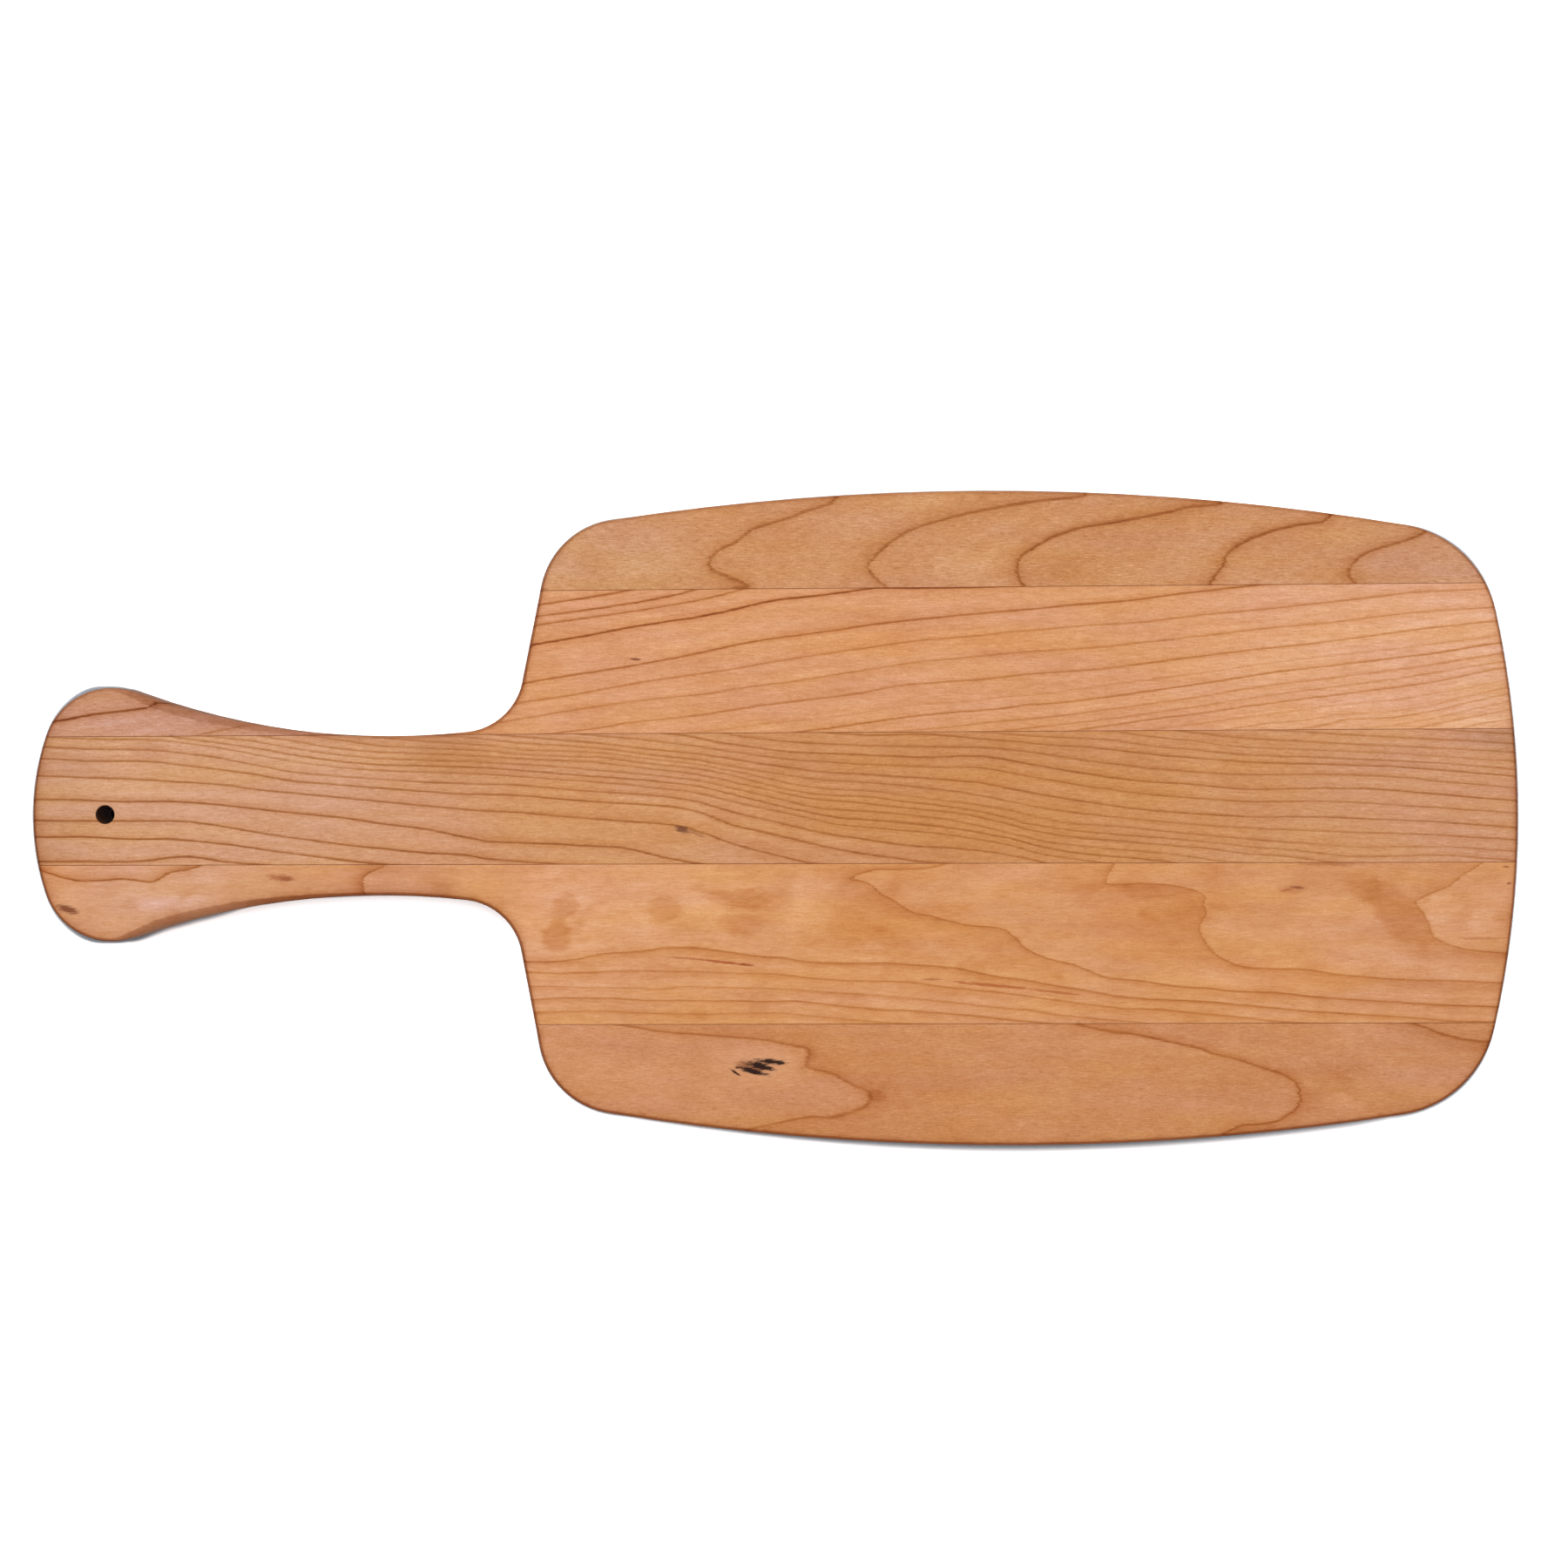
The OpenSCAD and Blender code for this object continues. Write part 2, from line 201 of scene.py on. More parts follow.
class Nodes:
    """Short ways to add and join the nodes of one material."""

    def __init__(self, name):
        self.material = bpy.data.materials.new(name)
        self.material.use_nodes = True
        self.tree = self.material.node_tree
        self.tree.nodes.clear()

    def put(self, kind, inputs=(), **settings):
        node = self.tree.nodes.new(kind)
        for key, setting in settings.items():
            setattr(node, key, setting)
        for key, value in inputs:
            if isinstance(value, bpy.types.NodeSocket):
                self.tree.links.new(value, node.inputs[key])
            else:
                node.inputs[key].default_value = value
        return node

    def math(self, operation, *values, clamp=False):
        node = self.put("ShaderNodeMath", enumerate(values), operation=operation, use_clamp=clamp)
        return node.outputs[0]

    def vector(self, operation, *values):
        inputs = list(enumerate(values))
        if operation == "SCALE":
            inputs[1] = ("Scale", values[1])
        out = "Value" if operation in ("LENGTH", "DISTANCE", "DOT_PRODUCT") else 0
        return self.put("ShaderNodeVectorMath", inputs, operation=operation).outputs[out]

    def parts(self, vector):
        return self.put("ShaderNodeSeparateXYZ", ((0, vector),)).outputs

    def ramp(self, value, low, high, out_low=0.0, out_high=1.0):
        inputs = ((0, value), (1, low), (2, high), (3, out_low), (4, out_high))
        return self.put("ShaderNodeMapRange", inputs, interpolation_type="SMOOTHSTEP").outputs[0]

    def noise(self, place, cell, detail=2.0, rough=0.5, shift=0.0):
        """Noise of about -1 to 1 whose cells are that many mm long, wide and deep."""
        scale = [1000 / size for size in cell]
        spread = self.vector("MULTIPLY_ADD", place, scale, (shift, shift * 1.7, shift * 0.6))
        inputs = (("Vector", spread), ("Scale", 1.0), ("Detail", detail), ("Roughness", rough))
        raw = self.put("ShaderNodeTexNoise", inputs).outputs[0]
        return self.math("MULTIPLY_ADD", raw, 4.0, -2.0)

    def colour(self, blend, amount, first, second):
        inputs = ((0, amount), (6, first), (7, second))
        return self.put("ShaderNodeMix", inputs, data_type="RGBA", blend_type=blend).outputs[2]

    def attribute(self, name):
        return self.put("ShaderNodeAttribute", attribute_name=name).outputs["Fac"]

    def facing(self):
        return self.parts(self.put("ShaderNodeNewGeometry").outputs["Normal"])

    def oval(self, place, px, py, length, height, turned=0.0, top=0.0, deep=0.0):
        """How far a point is from an oval's middle, 1 at its rim; the oval is in photo pixels."""
        local = self.vector("SUBTRACT", place, on_board(px, py) + (top,))
        if turned:
            local = self.put("ShaderNodeVectorRotate", ((0, local), ("Angle", math.radians(turned))),
                             rotation_type="Z_AXIS").outputs[0]
        sizes = (2 / (length * PHOTO_STEP), 2 / (height * PHOTO_STEP), deep)
        return self.vector("LENGTH", self.vector("MULTIPLY", local, sizes))

    def finish(self, shader):
        self.put("ShaderNodeOutputMaterial", ((0, shader.outputs[0]),))
        return self.material


def rgba(red, green, blue):
    """An sRGB colour of 0 to 255 as a linear colour with alpha."""
    tones = [c / 255 for c in (red, green, blue)]
    return tuple(t / 12.92 if t < 0.04045 else ((t + 0.055) / 1.055) ** 2.4 for t in tones) + (1.0,)


def cherry(name, pale, shift, sides, wide=0.04, curl=0.5, blush=0.3, grain=1.0, handle=1.0,
           bold=1.0, ink=(1.0, 1.65, 3.0), washes=(), patches=(), marks=()):
    """Oiled cherry: rings with soft dark sides round a thin dark end, fibres, pores, curl and marks.

    pale is the wood before any shade, sides the soft shade before and after a ring's dark end, wide
    the broad shade on one side of it, and ink how much the dark end takes from red, green and blue.
    A wash tints an oval, a patch makes it deeper (or paler, if negative), and a mark covers it with
    a colour. Each row starts with the oval's middle, length and height in photo pixels; patches and
    marks go on with its turn in degrees.
    """
    n = Nodes(name)
    place = n.put("ShaderNodeTexCoord").outputs["Object"]
    cross = n.parts(place)
    ring, width, strength, along = (
        n.attribute(a) for a in ("ring", "ring_width", "ring_strength", "ring_along"))
    strength = n.math("MULTIPLY", strength, n.ramp(cross[0], *HANDLE_FADE, handle, 1.0))
    stir = n.noise(place, (9, 2.2, 9), 3.0, 0.6, shift)
    feather = n.noise(place, (4.0, 0.35, 1.0), 2.0, 0.6, shift + 3)
    ring = n.math("ADD", ring, n.math("DIVIDE", n.math("MULTIPLY", stir, 0.12), width))
    ring = n.math("MULTIPLY_ADD", n.math("MULTIPLY", feather, 0.8), along, ring)
    turn = n.math("FRACT", ring)
    ahead = n.math("MULTIPLY", n.math("SUBTRACT", 1.0, turn), width)
    behind = n.math("MULTIPLY", turn, width)
    reach = n.math("MULTIPLY_ADD", n.math("MINIMUM", width, 26.0), 0.07, 0.50)
    streaky = n.noise(place, (30, 1.6, 30), 3.0, 0.6, shift + 7)
    front, back = (
        n.math("MULTIPLY", level, n.math(
            "EXPONENT", n.math("MULTIPLY", n.math("DIVIDE", gap, reach), fall)))
        for gap, fall, level in ((ahead, -1.0, sides[0]), (behind, -1.5, sides[1])))
    soft = n.math("MULTIPLY", n.math("MAXIMUM", front, back), n.ramp(streaky, -1.5, 1.5, 0.15, 0.27))
    line = n.math("MAXIMUM", n.ramp(ahead, 0.12 * bold, 0.66 * bold, 1.0, 0.0),
                  n.ramp(behind, 0.08 * bold, 0.36 * bold, 1.0, 0.0))
    line = n.math("MULTIPLY", line, n.ramp(streaky, -1.2, 1.0, 0.40, 0.72))
    line = n.math("MULTIPLY", line, strength)
    if wide > 0:
        broad = n.math("MULTIPLY", n.math("POWER", turn, 3.0), wide)
    else:
        broad = n.math("MULTIPLY", n.math("POWER", n.math("SUBTRACT", 1.0, turn), 1.3), -wide)
    soft = n.math("MULTIPLY", n.math("ADD", soft, broad), strength)
    late = n.math("ADD", soft, line)

    fibres = n.noise(place, (3.6, 0.36, 0.8), 3.0, 0.6, shift + 11)
    specks = n.noise(place, (0.9, 0.5, 0.6), 1.0, 0.5, shift + 19)
    bands = n.noise(place, (45, 1.9, 5), 3.0, 0.5, shift + 17)
    pores = n.ramp(n.noise(place, (2.2, 0.28, 0.5), 1.0, 0.5, shift + 23), 0.45, 1.2)
    flecks = n.ramp(n.noise(place, (2.6, 0.40, 0.6), 1.0, 0.5, shift + 27), 0.40, 1.1)
    layers = n.put("ShaderNodeCombineXYZ", (
        (0, n.math("MULTIPLY", ring, 3.2)), (1, n.math("MULTIPLY", cross[0], 14.0)),
        (2, n.math("MULTIPLY", cross[1], 14.0)))).outputs[0]
    layers = n.put("ShaderNodeTexNoise", (("Vector", layers), ("Scale", 1.0), ("Detail", 3.0)))
    layers = n.math("MULTIPLY_ADD", layers.outputs[0], 4.0, -2.0)
    cloud = n.noise(place, (16, 9, 12), 2.0, 0.5, shift + 29)
    amber = soft
    mottle = n.noise(place, (7, 1.8, 5), 3.0, 0.6, shift + 31)
    for part, share in ((bands, -0.026), (layers, -0.045), (cloud, -0.040 * curl),
                        (mottle, -0.016 - 0.014 * curl)):
        amber = n.math("MULTIPLY_ADD", part, share, amber)
    blotch = n.noise(place, (13, 9, 12), 2.0, 0.6, shift + 41)
    amber = n.math("ADD", amber, n.ramp(blotch, 0.25, 1.1, 0.0, 0.10 * blush))
    for px, py, length, height, turned, dense in patches:
        far = n.oval(place, px, py, length, height, turned)
        far = n.math("MULTIPLY_ADD", n.noise(place, (7, 2.6, 5), 2.0, 0.6, px), 0.28, far)
        amber = n.math("ADD", amber, n.ramp(far, 0.60, 1.12, dense, 0.0))
    brown = 0.0
    for part, share in ((fibres, -0.125), (specks, -0.055), (pores, 0.20), (flecks, -0.07)):
        brown = n.math("MULTIPLY_ADD", part, share * grain, brown)
    fade = n.put("ShaderNodeCombineColor", [
        (i, n.math("EXPONENT", n.math("MULTIPLY_ADD", amber, -shares[0], n.math(
            "MULTIPLY_ADD", line, -shares[1], n.math("MULTIPLY", brown, -shares[2])))))
        for i, shares in enumerate(zip((1.0, 2.0, 3.5), ink, (1.0, 1.5, 2.4)))]).outputs[0]
    wood = n.colour("MULTIPLY", 1.0, rgba(*pale), fade)
    warm = n.noise(place, (40, 9, 20), 2.0, 0.5, shift + 37)
    wood = n.colour("MULTIPLY", n.ramp(warm, -0.9, 0.9), wood, (1.02, 1.00, 0.86, 1))
    wood = n.colour("MULTIPLY", n.ramp(warm, -0.9, 0.9, 1.0, 0.0), wood, (1.00, 0.98, 1.04, 1))
    for px, py, length, height, shade in washes:
        far = n.math("MULTIPLY_ADD", cloud, 0.15, n.oval(place, px, py, length, height))
        wood = n.colour("MULTIPLY", n.ramp(far, 0.3, 1.3, 1.0, 0.0), wood, shade + (1,))
    for px, py, length, height, turned, dark, shade in marks:
        far = n.oval(place, px, py, length, height, turned, BOARD_THICK, 1 / MARK_DEPTH)
        ragged = n.math("MULTIPLY_ADD", n.noise(place, (2.2, 0.32, 2), 2.0, 0.6, px), 0.42, far)
        wood = n.colour("MIX", n.ramp(ragged, 0.45, 1.15, dark, 0.0), wood, rgba(*shade))

    # painted shade on the rim, the rounded edges and the steep walls, strongest on the lower, left and
    # right sides; end grain is also darker in colour, as oiled end grain is
    facing = n.facing()
    from_middle = n.math("ABSOLUTE", n.math("SUBTRACT", cross[2], BOARD_THICK / 2))
    below = n.math("SUBTRACT", BOARD_THICK / 2, from_middle)
    round_edge = n.math("MULTIPLY", n.ramp(below, *EDGE_FADE), n.attribute("rim_side_shade"))
    steep_shade = n.ramp(n.math("ABSOLUTE", facing[2]), 0.10, 0.80, 1.0, 0.0)
    end_grain = n.ramp(n.math("ABSOLUTE", facing[0]), 0.2, 0.7)
    wood = n.colour("MULTIPLY", n.attribute("rim"), wood, RIM_SHADE_TONE)
    edge_shade_tone = n.colour("MIX", end_grain, LONG_EDGE_SHADE_TONE, END_GRAIN_AND_SHADE_TONE)
    wood = n.colour("MULTIPLY", round_edge, wood, edge_shade_tone)
    wood = n.colour("MULTIPLY", steep_shade, wood, WALL_SHADE_TONE)
    # painted shade: the wall of the bored hole is made nearly black, where little light reaches
    flat = n.vector("MULTIPLY", n.vector("SUBTRACT", place, (HOLE_X, 0, 0)), (1, 1, 0))
    bore_shade = n.ramp(n.vector("LENGTH", flat), *BORE_RIM, 1.0, 0.0)
    wood = n.colour("MULTIPLY", bore_shade, wood, BORE_SHADE_TONE)

    relief = n.math("MULTIPLY_ADD", pores, -0.6, n.math("MULTIPLY", fibres, 0.15))
    relief = n.math("MULTIPLY_ADD", late, -0.5, relief)
    bump = n.put("ShaderNodeBump", (
        ("Height", relief), ("Strength", BUMP_STRENGTH), ("Distance", BUMP_HEIGHT)))
    rough = n.math("MULTIPLY_ADD", fibres, 0.03, n.math("MULTIPLY_ADD", late, -0.06, 0.50))
    shader = n.put("ShaderNodeBsdfPrincipled", (
        ("Base Color", wood), ("Roughness", rough), ("IOR", OIL_IOR), ("Specular IOR Level", 0.15),
        ("Normal", bump.outputs[0])))
    return n.finish(shader)


def stave(node, rings, stretch, lean, material):
    """One stave of the board, cut from its CAD solid, with its grain and its material.

    stretch is how much longer than wide the wood's features are, and lean is how far the rings
    shift in x and y with each mm of depth.
    """
    piece = fine_copy(node)
    write_grain(piece, rings, stretch, lean)
    piece.data.materials.append(material)
    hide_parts(node)
    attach(piece, "root")


top_rings = [
    (0, 0.0, [(640, 600), (600, 700)]),
    (1, 0.50, [(955, 578), (925, 588), (905, 596), (880, 603), (863, 608), (852, 618), (843, 625),
               (830, 629), (820, 637), (812, 648), (817, 655), (830, 659), (847, 666), (858, 672),
               (863, 676)]),
    (2, 0.48, [(1245, 571), (1200, 575), (1165, 580), (1125, 587), (1090, 595), (1060, 604),
               (1040, 611), (1020, 625), (1008, 636), (997, 647), (995, 652), (1003, 662),
               (1012, 670), (1020, 675)]),
    (3, 0.60, [(1400, 580), (1365, 583), (1340, 589), (1310, 595), (1270, 602), (1240, 606),
               (1228, 610), (1205, 618), (1190, 628), (1172, 638), (1167, 650), (1169, 663),
               (1173, 671), (1178, 673)]),
    (4, 0.64, [(1520, 600), (1490, 603), (1460, 610), (1435, 619), (1415, 630), (1407, 638),
               (1405, 650), (1395, 661), (1390, 668), (1390, 672)]),
    (5, 0.52, [(1625, 617), (1600, 625), (1570, 634), (1558, 642), (1548, 651), (1547, 661),
               (1553, 667), (1560, 671)]),
    (5.6, None, [(1700, 640), (1690, 680)]),
]
top_wood = cherry("cherry top edge", (205, 147, 103), 1.0, (2.2, 0.8), -0.10, curl=1.0, blush=0.3,
                  grain=1.45, bold=1.5, patches=[
    (1100, 648, 76, 44, 0, -0.045),
    (745, 635, 110, 50, 0, -0.03),
    (1225, 655, 60, 30, 0, 0.03),
], washes=[
    (1660, 640, 240, 110, (0.99, 1.04, 1.34)),
    (690, 640, 240, 110, (0.99, 1.05, 1.12)),
])
stave("top_edge_stave", top_rings, 1.6, (2.5, 0.4), top_wood)


# The upper stave's blade piece: cherry with narrow rings that slope up to the right, nearly straight.
# Made as the stave above, from 18 traced rings, the strong ones with more ink, in a paler tone with
# pale streaks of painted sheen standing in for cross-grain lustre towards the right end, and one small
# dark fleck.
upper_rings = [
    (1, 0.85, [(619, 708), (660, 703), (700, 697), (740, 691), (780, 683), (800, 677)]),
    (2, 0.6, [(617, 718), (660, 711), (700, 706), (740, 700), (805, 689), (845, 679), (855, 676)]),
    (3, 1.25, [(611, 740), (640, 736), (680, 729), (720, 721), (760, 715), (800, 709), (840, 701),
               (870, 693), (900, 688), (940, 684), (970, 680), (1005, 675)]),
    (4, 0.7, [(602, 785), (640, 778), (680, 772), (720, 766), (780, 755), (840, 742), (870, 736),
              (900, 732), (980, 721), (1020, 715), (1060, 711), (1100, 707), (1180, 700),
              (1240, 694), (1300, 690), (1360, 681), (1400, 677), (1440, 672)]),
    (5, 0.4, [(597, 807), (660, 798), (700, 790), (740, 783), (800, 774), (840, 769), (870, 763),
              (920, 755), (1000, 743), (1060, 735), (1120, 731), (1150, 727), (1240, 719),
              (1320, 714), (1380, 706), (1460, 699), (1540, 690), (1600, 683), (1620, 680),
              (1700, 677)]),
    (6, 0.35, [(590, 827), (630, 820), (700, 809), (740, 804), (820, 796), (850, 790), (900, 784),
               (960, 775), (1040, 762), (1160, 750), (1200, 747), (1260, 744), (1320, 737),
               (1400, 728), (1440, 723), (1540, 714), (1580, 708), (1640, 702), (1710, 698)]),
    (7, 0.45, [(640, 842), (680, 837), (700, 835), (720, 830), (760, 826), (800, 822), (860, 812),
               (900, 807), (990, 796), (1030, 787), (1130, 780), (1180, 774), (1260, 769),
               (1300, 764), (1360, 756), (1440, 746), (1500, 740), (1560, 732), (1640, 721),
               (1720, 713)]),
    (8, 0.16, [(830, 838), (880, 831), (960, 823), (1000, 818), (1030, 811), (1100, 807),
               (1140, 802), (1200, 797), (1240, 791), (1320, 780), (1400, 770), (1460, 761),
               (1540, 752), (1620, 743), (1690, 734), (1718, 730)]),
    (9, 0.5, [(920, 840), (960, 835), (1040, 823), (1100, 817), (1140, 815), (1180, 809),
              (1220, 807), (1280, 799), (1400, 782), (1460, 772), (1530, 764), (1640, 751),
              (1690, 743), (1720, 738)]),
    (10, 0.3, [(1020, 841), (1100, 834), (1140, 829), (1220, 822), (1300, 811), (1380, 800),
               (1440, 789), (1520, 780), (1600, 770), (1640, 764), (1722, 751)]),
    (11, 0.3, [(1170, 837), (1200, 834), (1280, 825), (1360, 814), (1440, 801), (1520, 790),
               (1600, 780), (1680, 767), (1710, 762)]),
    (12, 0.4, [(1240, 838), (1320, 826), (1400, 816), (1430, 811), (1500, 802), (1580, 792),
               (1640, 784), (1716, 768)]),
    (13, 0.2, [(1340, 836), (1420, 825), (1510, 813), (1540, 809), (1600, 804), (1680, 791),
               (1720, 783)]),
    (14, 0.2, [(1450, 831), (1500, 827), (1540, 820), (1600, 817), (1640, 811), (1680, 801),
               (1726, 790)]),
    (15, 0.3, [(1540, 826), (1600, 824), (1640, 817), (1700, 803), (1727, 797)]),
    (16, 0.2, [(1600, 833), (1640, 826), (1680, 817), (1728, 806)]),
    (17, 0.3, [(1640, 832), (1700, 821), (1731, 815)]),
    (18, 0.3, [(1690, 832), (1731, 826)]),
]
upper_wood = cherry("cherry upper", (216, 154, 110), 2.0, (0.35, 0.9), curl=1.0, blush=0.12,
                    grain=1.1, washes=[
    (1670, 760, 660, 320, (1.10, 1.21, 1.41)),
    (1060, 735, 330, 40, (0.99, 0.95, 0.84)),
    (1712, 800, 110, 90, (1.01, 1.05, 1.10)),
# painted sheen: these pale streaks stand in for the wood's cross-grain lustre
], patches=[
    (1650, 716, 150, 13, -8, -0.05),
    (1705, 746, 74, 13, -8, -0.06),
    (1560, 806, 130, 11, -10, -0.045),
    (1700, 828, 96, 13, -8, -0.05),
    (1590, 762, 60, 12, -8, -0.035),
], marks=[
    (729, 757, 15, 3.2, 4, 0.85, (112, 52, 16)),
])
stave("upper_blade_stave", upper_rings, 5.0, (0.2, 0.8), upper_wood)


# The upper stave's other piece, the top of the handle's lobe: cherry, with one strong ring that turns
# back on itself and one faint one. Made as the staves above, from the rings traced there.
wing_rings = [
    (1, 1.3, [(68, 828), (96, 823), (110, 820), (129, 818), (149, 816), (169, 813.5), (177, 811),
              (179.5, 808), (177, 804)]),
    (1.5, None, [(60, 846), (125, 838), (201, 826)]),
    (2, 0.34, [(215, 848), (225, 845.5), (241, 841), (258, 838), (274, 836), (277.5, 834),
               (275.5, 832)]),
]
wing_wood = cherry("cherry lobe wing", (203, 149, 120), 3.0, (0.3, 1.0), curl=0.4, blush=0.1,
                   grain=1.3, bold=1.1, patches=[
    (138, 829, 130, 6, -9, -0.07),
    (163, 841, 84, 5, -10, -0.05),
])
stave("upper_lobe_wing", wing_rings, 2.5, (0.2, 0.8), wing_wood)


# The centre stave, from the tip of the handle to the far end of the blade: 22 narrow rings, wide and
# strongly marked in the handle, with a small tight knot, and the hanging hole bored through it.
centre_rings = [
    (1, 0.35, [(1350, 839), (1399, 845), (1438, 849), (1486, 851), (1539, 854), (1649, 859),
               (1736, 864)]),
    (2, 0.3, [(1275, 839.5), (1319, 846), (1379, 851.5), (1399, 855.5), (1438, 858.5),
              (1539, 862.5), (1599, 865), (1708, 872), (1736, 874)]),
    (3, 0.35, [(1130, 841), (1180, 845), (1279, 850), (1319, 857), (1359, 860), (1399, 864),
               (1438, 867.5), (1539, 871), (1649, 876), (1708, 881), (1736, 883)]),
    (4, 0.5, [(950, 841), (979, 844), (1010, 845), (1059, 842), (1099, 846), (1138, 849),
              (1178, 852.5), (1200, 855.5), (1240, 857), (1279, 861), (1319, 866), (1399, 872.5),
              (1438, 875.5), (1539, 878), (1599, 880), (1708, 888.5), (1736, 891.5)]),
    (5, 0.38, [(830, 842), (858, 847), (906, 852), (979, 856), (1099, 858), (1138, 858.5),
               (1178, 863), (1240, 872.5), (1319, 882.5), (1399, 888.5), (1438, 890), (1510, 889),
               (1569, 890.5), (1619, 893), (1649, 897.5), (1736, 904)]),
    (6, 0.52, [(790, 845), (819, 852), (858, 857), (906, 864), (999, 867), (1059, 870),
               (1118, 867.5), (1138, 869), (1178, 877), (1240, 887.5), (1299, 896.5), (1379, 901.5),
               (1418, 906), (1438, 907), (1486, 905.5), (1569, 905), (1649, 912), (1708, 917),
               (1736, 919)]),
    (7, 0.4, [(665, 843), (739, 849.5), (779, 854), (858, 866), (906, 872.5), (999, 878),
              (1079, 881), (1118, 880.5), (1138, 883), (1200, 895), (1240, 901.5), (1319, 912.5),
              (1399, 918.5), (1438, 921), (1510, 919.5), (1569, 922), (1649, 927.5), (1736, 933)]),
    (8, 0.48, [(560, 843), (600, 846), (680, 853), (759, 862), (799, 865), (858, 874.5),
               (906, 881.5), (940, 886.5), (1039, 892), (1118, 898), (1138, 901), (1178, 909.5),
               (1240, 920), (1299, 928.5), (1359, 933.5), (1438, 938.5), (1510, 937.5),
               (1569, 940.5), (1649, 943.5), (1736, 950.5)]),
    (9, 0.38, [(545, 847.5), (598, 853.5), (680, 858), (739, 866), (799, 872.5), (838, 879.5),
               (878, 886.5), (940, 895), (1019, 900), (1099, 909), (1138, 916), (1200, 929),
               (1279, 938), (1359, 946), (1438, 951), (1569, 956), (1649, 958.5), (1736, 964)]),
    (10, 0.3, [(560, 856), (598, 861.5), (640, 862), (699, 865), (739, 870.5), (799, 877),
               (838, 884.5), (900, 898.5), (940, 905.5), (999, 908), (1039, 914), (1118, 923.5),
               (1158, 930), (1220, 945), (1279, 948.5), (1339, 955), (1438, 964), (1539, 971.5),
               (1569, 973.5), (1619, 972), (1678, 972.5), (1736, 978)]),
    (11, 0.35, [(400, 851), (439, 857), (519, 860.5), (558, 862), (598, 867), (699, 870),
                (739, 877), (799, 882), (838, 889.5), (900, 906), (940, 913), (999, 914.5),
                (1039, 921), (1079, 924.5), (1138, 934.5), (1178, 946), (1240, 955), (1319, 961),
                (1359, 964), (1438, 973), (1486, 976), (1539, 983), (1599, 983.5), (1649, 981),
                (1708, 985.5), (1736, 988)]),
    (12, 0.38, [(304, 846), (340, 851), (360, 855.5), (399, 861), (439, 864), (519, 866.5),
                (598, 871), (680, 874.5), (739, 881.5), (799, 889), (858, 901.5), (900, 910.5),
                (940, 918.5), (979, 920.5), (1039, 928), (1099, 933), (1158, 945.5), (1178, 952),
                (1220, 960), (1299, 967), (1379, 973.5), (1438, 981), (1480, 982.5), (1510, 988)]),
    (13, 0.35, [(245, 846.5), (288, 850), (312, 855), (340, 860), (399, 868), (439, 871.5),
                (519, 874), (598, 877.5), (640, 880.5), (739, 889), (799, 895.5), (838, 904.5),
                (900, 919), (940, 928.5), (999, 931.5), (1079, 939.5), (1118, 947), (1178, 961.5),
                (1200, 967), (1259, 973.5), (1339, 980), (1379, 985.5), (1400, 989)]),
    (14, 0.5, [(205, 847.5), (255, 854), (304, 861), (340, 867.5), (399, 876), (439, 878.5),
               (558, 881.5), (640, 888.5), (739, 896), (799, 902), (819, 906.5), (858, 916.5),
               (900, 927), (960, 939.5), (999, 941.5), (1079, 949), (1118, 955), (1158, 962),
               (1196, 973), (1240, 980.5), (1299, 985), (1339, 989)]),
    (15, 0.38, [(179, 849.5), (229, 854.5), (268, 861.5), (308, 869), (340, 875), (399, 882),
                (439, 884.5), (558, 889), (640, 894.5), (719, 900.5), (799, 909.5), (838, 919.5),
                (900, 932.5), (960, 946.5), (1039, 953.5), (1079, 956.5), (1118, 963),
                (1158, 969.5), (1196, 981), (1240, 987)]),
    (16, 0.5, [(54, 858), (99, 860.5), (169, 861), (195, 863), (219, 866.5), (245, 869),
               (268, 873.5), (308, 881.5), (340, 887.5), (399, 892.5), (519, 900), (598, 901.5),
               (640, 906), (759, 914), (799, 919.5), (838, 932.5), (906, 947.5), (940, 956),
               (999, 965), (1039, 971), (1099, 974), (1138, 978.5), (1178, 985), (1196, 990)]),
    (17, 0.55, [(50, 871), (99, 874), (177, 874.5), (199, 877.5), (229, 881), (278, 886.5),
                (340, 897.5), (399, 902), (479, 908), (519, 911.5), (598, 913), (680, 920.5),
                (759, 925), (799, 930), (838, 947), (906, 962), (940, 970.5), (979, 978.5),
                (1019, 984), (1059, 990)]),
    (18, 0.62, [(47, 891), (99, 893), (159, 894.5), (189, 897), (258, 901), (298, 907),
                (399, 916.5), (479, 924.5), (558, 931.5), (598, 933), (680, 940.5), (759, 946),
                (779, 948), (799, 953), (838, 968), (878, 979), (906, 985.5), (925, 990)]),
    (19, 0.78, [(44, 918.5), (80, 918), (149, 921.5), (185, 919.5), (229, 922), (288, 928),
                (318, 931.5), (399, 939.5), (439, 946), (479, 950), (519, 958), (558, 966.5),
                (598, 968), (640, 969), (680, 972), (699, 971.5), (719, 973.5), (739, 978.5),
                (759, 984), (799, 991)]),
    (20, 0.74, [(43, 942.5), (110, 943), (195, 942.5), (219, 943.5), (245, 947), (304, 957.5),
                (340, 962.5), (399, 970.5), (439, 974.5), (500, 980.5), (535, 980.5), (558, 987),
                (598, 989), (625, 991)]),
    (21, 0.84, [(44, 961), (99, 960.5), (159, 964.5), (189, 962.5), (229, 966.5), (268, 970),
                (298, 975), (360, 983), (399, 988.5), (439, 992)]),
    (22, 0.85, [(48, 990), (99, 989), (139, 990), (179, 988), (195, 984), (215, 983), (237, 985.5),
                (258, 990), (306, 993)]),
]
